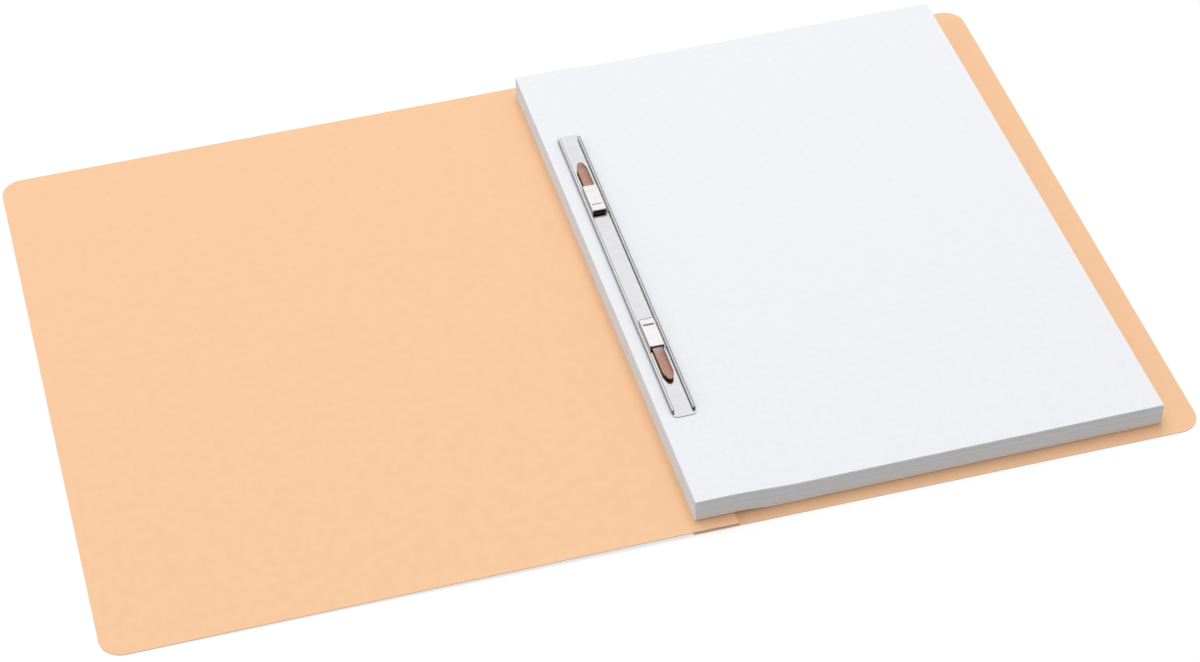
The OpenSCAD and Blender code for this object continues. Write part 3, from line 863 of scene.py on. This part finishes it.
def make_slide(name, node, body, side, inner, material):
    """A keeper that runs outwards from its inner end: footed legs, a turned-up end, a nib and its slit."""
    half = SLIDE_W / 2
    top = BAR_Z + SLIDE_TOP
    foot = BAR_Z + FOOT_Z
    foot_x = BAR_W / 2 - BAR_BEND - RUN_CLEAR
    corner = (half - SLIDE_BEND, top - SLIDE_BEND)
    right = [(0, top)] + arc(corner, SLIDE_BEND, 90, 0, SLIDE_STEPS[0])
    right += [(half, foot + SLIDE_T), (foot_x, foot + SLIDE_T), (foot_x, foot), (half - SLIDE_T, foot)]
    right += arc(corner, SLIDE_BEND - SLIDE_T, 0, 90, SLIDE_STEPS[1]) + [(0, top - SLIDE_T)]
    low, high = sorted((side * inner, side * (inner + SLIDE_L)))
    slide = new_piece(name, extruded(with_mirror(right), low, high), material)

    def across(profile, stations):
        """A profile of distance from the inner end and height over the top, drawn across the slide."""
        return loft([[(x, side * (inner + y), top + z - drop) for y, z in profile] for x, drop in stations])

    lip = [(0, -SLIDE_T), *arc((LIP_H, 0), LIP_H, 180, 90, LIP_STEPS), *LIP_BACK]
    lip = across(lip, ((SLIDE_BEND - half, 0), (half - SLIDE_BEND, 0)))
    carve(slide, new_piece("end_lip", lip, material), "UNION")
    nib_start = NIB_IN - NIB_RUN
    nib = [(nib_start - NIB_RUN * NIB_SINK / NIB_H, -NIB_SINK), (NIB_IN, NIB_H), (NIB_IN, -NIB_SINK)]
    nib_end = NIB_HALF + NIB_END
    nib = across(nib, ((-nib_end, NIB_END), (-NIB_HALF, 0), (NIB_HALF, 0), (nib_end, NIB_END)))
    carve(slide, new_piece("nib", nib, material), "UNION")
    slit_end = NIB_IN + NIB_SLIT
    over, under = NIB_H + NIB_OVER, -2 * SLIDE_T
    room = [(nib_start, under), (nib_start, -SLIDE_T), (NIB_IN, NIB_H - SLIDE_T), (NIB_IN, over),
            (slit_end, over), (slit_end, under)]
    room = across(room, ((-NIB_SLIT_HALF, 0), (NIB_SLIT_HALF, 0)))
    carve(slide, new_piece("nib_room", room, material), "DIFFERENCE")
    ease_edges(slide)
    # Faces are marked for painted shade, except those at the outer end
    unshaded_y = (inner + SLIDE_L - UNSHADED_END) * MM
    mark_surface(slide, lambda face: 0.0 if side * face.center.y > unshaded_y else painted_shade_share(face))
    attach(slide, body)
    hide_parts(node)


def prong_path():
    """Steps along half the strip: distance from the middle, height, slope in radians and half the width."""
    half = PRONG_W / 2
    base_z = STRIP_Z + STRIP_T / 2
    tongue_z = BAR_Z + FOOT_Z + STRIP_T / 2
    low_r, high_r = LOW_BEND + STRIP_T / 2, HIGH_BEND + STRIP_T / 2
    low, high = (PRONG_Y - low_r, base_z + low_r), (PRONG_Y + high_r, tongue_z - high_r)
    base_end = low[0] - BASE_SHOULDER
    path = [(y, base_z, 0.0, BASE_W / 2) for y in (0.0, BASE_MIDWAY, base_end)]
    path.append((base_end, base_z, 0.0, half))
    for i, (y, z) in enumerate(arc(low, low_r, -90, 0, LOW_STEPS)):
        path.append((y, z, math.radians(90 * i / LOW_STEPS), half))
    for i, (y, z) in enumerate(arc(high, high_r, 180, 90, HIGH_STEPS)):
        path.append((y, z, math.radians(90 - 90 * i / HIGH_STEPS), half))
    tip_start = high[0] + TONGUE_FLAT
    path += [(tip_start - back, tongue_z, 0.0, half) for back in FLAT_COLUMNS]

    # The tongue rises to just under the slides, steeply at first and level at its tip
    run = PRONG_REACH - tip_start
    lift = SLIDE_TOP - SLIDE_T - TIP_CLEAR - STRIP_T - FOOT_Z
    outline = [(half, y) for y in spread(tip_start, PRONG_REACH - TAPER_L, RISE_COLUMNS)]
    outline += [(width, PRONG_REACH - back) for back, width in TIP_SHOULDER]
    outline += arc((0, PRONG_REACH - TIP_R), TIP_R, 0, 90, TIP_STEPS)
    for width, y in outline:
        left = 1 - (y - tip_start) / run
        path.append((y, tongue_z + lift * (1 - left ** 3), math.atan(3 * lift * left ** 2 / run),
                     max(width, TIP_HALF)))
    return path


def make_prongs(material):
    """One strip from tip to tip: base, bends, legs, tongues and lifted tips."""
    path = prong_path()
    rings = []
    for side, run in ((-1, path[:0:-1]), (1, path)):
        for y, z, turn, half in run:
            flat = half - min(STRIP_EASE, half * STRIP_EASE_SHARE)
            ring = []
            for x, level in ((-flat, -1), (flat, -1), (half, -0.5), (half, 0.5), (flat, 1), (-flat, 1),
                             (-half, 0.5), (-half, -0.5)):
                rise = level * STRIP_T / 2
                ring.append((x, side * (y - rise * math.sin(turn)), z + rise * math.cos(turn)))
            rings.append(ring)
    strip = new_piece("prong_strip_metal", loft(rings), material, SHARP)
    # Faces that lean away from facing up are marked for painted shade
    mark_surface(strip, painted_shade_share)
    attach(strip, "back")
    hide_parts("prong_strip")


# Studio, in metres, degrees and watts

FLOOR_HALF = 6.0
FLOOR_DROP = 0.02 * MM
ROOM_LEVEL = 0.65
# Grey screens at eye level that fade to white this far up, and a grey flag to the far right
SCREENS_END = 0.55
FLAG_TOWARDS = (0.69, 0.69, 0.2)
FLAG_EDGE = (0.8, 0.97)
# Each softbox: its name, place, size and power
SOFTBOXES = (
    ("softbox_above", (0.1, 1.0, 2.6), 2.0, 33.5),
    ("softbox_left", (-2.5, 0.3, 0.6), 1.0, 5.0),
)
CAMERA_PLACE = (-0.2846, -1.04566, 0.979585)
CAMERA_AZIMUTH = 14.637
CAMERA_ELEVATION = 42.809
CAMERA_ROLL = 1.095
# Focal length and sensor width, in millimetres
CAMERA_LENS = 96.876
CAMERA_SENSOR = 36.0
CAMERA_FAR = 50


def make_floor():
    """A white table: plain for bounced light, lifted to the background's white for the eye and for metal."""
    material, tree = blank_material("white_table")
    rays = add(tree, "ShaderNodeLightPath").outputs
    seen = add(tree, "ShaderNodeMath", {"operation": "MAXIMUM"},
               {0: rays["Is Camera Ray"], 1: rays["Is Glossy Ray"]})
    plain = add(tree, "ShaderNodeBsdfDiffuse", inputs={"Color": linear("#B4B4B4")})
    matt = add(tree, "ShaderNodeBsdfDiffuse", inputs={"Color": linear("#A6A6A6")})
    lift = add(tree, "ShaderNodeEmission", inputs={"Color": linear("#D2D2D2")})
    white = add(tree, "ShaderNodeAddShader", inputs={0: matt, 1: lift})
    both = add(tree, "ShaderNodeMixShader", inputs={0: seen, 1: plain, 2: white})
    add(tree, "ShaderNodeOutputMaterial", inputs={"Surface": both})
    mesh = bpy.data.meshes.new("floor")
    corners = [(x * FLOOR_HALF, y * FLOOR_HALF, 0) for x, y in ((-1, -1), (1, -1), (1, 1), (-1, 1))]
    mesh.from_pydata(corners, [], [(0, 1, 2, 3)])
    mesh.materials.append(material)
    floor = bpy.data.objects.new("floor", mesh)
    floor.location = (0, 0, -FLOOR_DROP)
    bpy.context.scene.collection.objects.link(floor)


def make_room():
    """A white room: metal sees white above, grey screens at eye level and a grey flag at the far right."""
    world = bpy.data.worlds.new("studio")
    bpy.context.scene.world = world
    world.use_nodes = True
    tree = world.node_tree
    tree.nodes.clear()
    rays = add(tree, "ShaderNodeLightPath").outputs
    direction = add(tree, "ShaderNodeTexCoord").outputs["Generated"]
    parts = add(tree, "ShaderNodeSeparateXYZ", inputs={0: direction})
    screens = add(tree, "ShaderNodeValToRGB", inputs={"Fac": parts.outputs["Z"]},
                  stops=((0.0, "#868686"), (SCREENS_END, "#FFFFFF")))
    towards = add(tree, "ShaderNodeVectorMath", {"operation": "DOT_PRODUCT"},
                  {0: direction, 1: FLAG_TOWARDS}).outputs["Value"]
    flag = add(tree, "ShaderNodeValToRGB", inputs={"Fac": towards},
               stops=((FLAG_EDGE[0], "#FFFFFF"), (FLAG_EDGE[1], "#B4B4B4")))
    screens = add(tree, "ShaderNodeMix", {"data_type": "RGBA", "blend_type": "MULTIPLY"},
                  {MIX_SHARE: 1.0, MIX_FROM: screens, MIX_TO: flag}).outputs[MIX_COLOUR]
    room = add(tree, "ShaderNodeBackground", inputs={"Color": linear("#FFFFFF"), "Strength": ROOM_LEVEL})
    mirrored = add(tree, "ShaderNodeBackground", inputs={"Color": screens, "Strength": 1.0})
    white = add(tree, "ShaderNodeBackground", inputs={"Color": linear("#FFFFFF"), "Strength": 1.0})
    both = add(tree, "ShaderNodeMixShader", inputs={0: rays["Is Glossy Ray"], 1: room, 2: mirrored})
    both = add(tree, "ShaderNodeMixShader", inputs={0: rays["Is Camera Ray"], 1: both, 2: white})
    add(tree, "ShaderNodeOutputWorld", inputs={"Surface": both})


def make_softboxes():
    """A large softbox above and a small one to the left, aimed at the folder and not mirrored in metal."""
    for name, place, size, power in SOFTBOXES:
        lamp = bpy.data.lights.new(name, "AREA")
        lamp.shape = "SQUARE"
        lamp.size = size
        lamp.energy = power
        box = bpy.data.objects.new(name, lamp)
        box.location = place
        box.rotation_euler = (-Vector(place)).to_track_quat("-Z", "Y").to_euler()
        box.visible_glossy = False
        bpy.context.scene.collection.objects.link(box)


def make_camera():
    """The photograph's viewpoint: a long lens from the front left, well above the table."""
    azimuth, elevation, roll = (math.radians(a) for a in (CAMERA_AZIMUTH, CAMERA_ELEVATION, CAMERA_ROLL))
    ahead = Vector((math.sin(azimuth) * math.cos(elevation), math.cos(azimuth) * math.cos(elevation),
                    -math.sin(elevation)))
    right = ahead.cross(Vector((0, 0, 1))).normalized()
    down = ahead.cross(right)
    across = math.cos(roll) * right + math.sin(roll) * down
    below = math.cos(roll) * down - math.sin(roll) * right
    lens = bpy.data.cameras.new("camera")
    lens.sensor_fit = "HORIZONTAL"
    lens.sensor_width = CAMERA_SENSOR
    lens.lens = CAMERA_LENS
    lens.clip_end = CAMERA_FAR
    camera = bpy.data.objects.new("camera", lens)
    turn = Matrix((across, -below, -ahead)).transposed()
    camera.matrix_world = Matrix.Translation(CAMERA_PLACE) @ turn.to_4x4()
    bpy.context.scene.collection.objects.link(camera)
    bpy.context.scene.camera = camera


bpy.context.scene.view_settings.view_transform = "Standard"
make_camera()
make_floor()
make_room()
make_softboxes()
card = folder_card()
for make_panel in (make_back_cover, make_pleat, make_flap, make_spine, make_front_cover):
    make_panel(card)
make_paper(copy_paper())
bright_plate = nickel_plate("bright_nickel_plated_steel", "#F3F2F0", "#FAF9F8")
make_bar(nickel_plate("satin_nickel_plated_steel", "#E5E5E7", "#EAEAEC"))
make_slide("far_slide_metal", "far_slide", "far_keeper", 1, FAR_SLIDE_IN, bright_plate)
make_slide("near_slide_metal", "near_slide", "near_keeper", -1, NEAR_SLIDE_IN, bright_plate)
make_prongs(lacquered_strip())
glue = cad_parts["glue_lines"]
glue.data.materials.clear()
glue.data.materials.append(set_adhesive())
